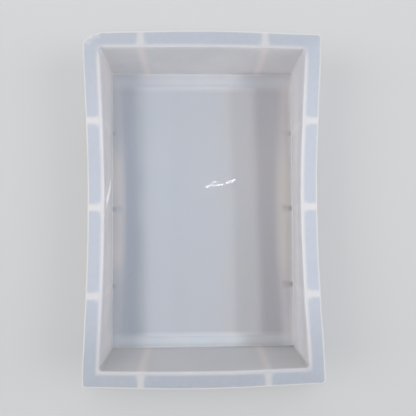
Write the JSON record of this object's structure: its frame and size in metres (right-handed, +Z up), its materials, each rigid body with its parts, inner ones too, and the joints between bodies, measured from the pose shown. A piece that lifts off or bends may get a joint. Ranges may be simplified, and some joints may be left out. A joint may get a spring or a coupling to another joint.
{
  "type": "resin casting mould",
  "caption": "Deep rectangular silicone tray mould: a flat flange rims its open top, ribs brace it from below, and its walls bend outward to free a casting.",
  "frame": {"origin": "centre of the underside, on the surface the mould stands on", "axes": "+Z up, out of the open top; +Y along the length of the tray, towards the back; +X across it, towards the right"},
  "size_m": [0.2346, 0.3481, 0.065],
  "materials": {
    "silicone": "translucent milky silicone, satin flange and glossy cavity"
  },
  "bodies": {
    "base": {"base_panel": "silicone", "corner_post_back_left": "silicone", "corner_post_back_right": "silicone", "corner_post_front_left": "silicone", "corner_post_front_right": "silicone", "rim_corner_back_left": "silicone", "rim_corner_back_right": "silicone", "rim_corner_front_left": "silicone", "rim_corner_front_right": "silicone"},
    "left_wall": {"rib_left_1": "silicone", "rib_left_2": "silicone", "rib_left_3": "silicone", "rim_left": "silicone", "wall_left": "silicone"},
    "right_wall": {"rib_right_1": "silicone", "rib_right_2": "silicone", "rib_right_3": "silicone", "rim_right": "silicone", "wall_right": "silicone"},
    "front_wall": {"rib_front_1": "silicone", "rib_front_2": "silicone", "rim_front": "silicone", "wall_front": "silicone"},
    "back_wall": {"rib_back_1": "silicone", "rib_back_2": "silicone", "rim_back": "silicone", "wall_back": "silicone"}
  },
  "joints": [
    {"name": "left_wall_bend", "type": "hinge", "parent": "base", "child": "left_wall", "pos_m": [-0.10275, 0, 0.0073], "axis": [0, -1, 0], "range_deg": [-4, 14], "stiffness_Nm_per_rad": 1},
    {"name": "right_wall_bend", "type": "hinge", "parent": "base", "child": "right_wall", "pos_m": [0.10275, 0, 0.0073], "axis": [0, 1, 0], "range_deg": [-4, 14], "stiffness_Nm_per_rad": 1},
    {"name": "front_wall_bend", "type": "hinge", "parent": "base", "child": "front_wall", "pos_m": [0, -0.15425, 0.0073], "axis": [1, 0, 0], "range_deg": [-3, 10], "stiffness_Nm_per_rad": 1.2},
    {"name": "back_wall_bend", "type": "hinge", "parent": "base", "child": "back_wall", "pos_m": [0, 0.15425, 0.0073], "axis": [-1, 0, 0], "range_deg": [-3, 10], "stiffness_Nm_per_rad": 1.2}
  ]
}
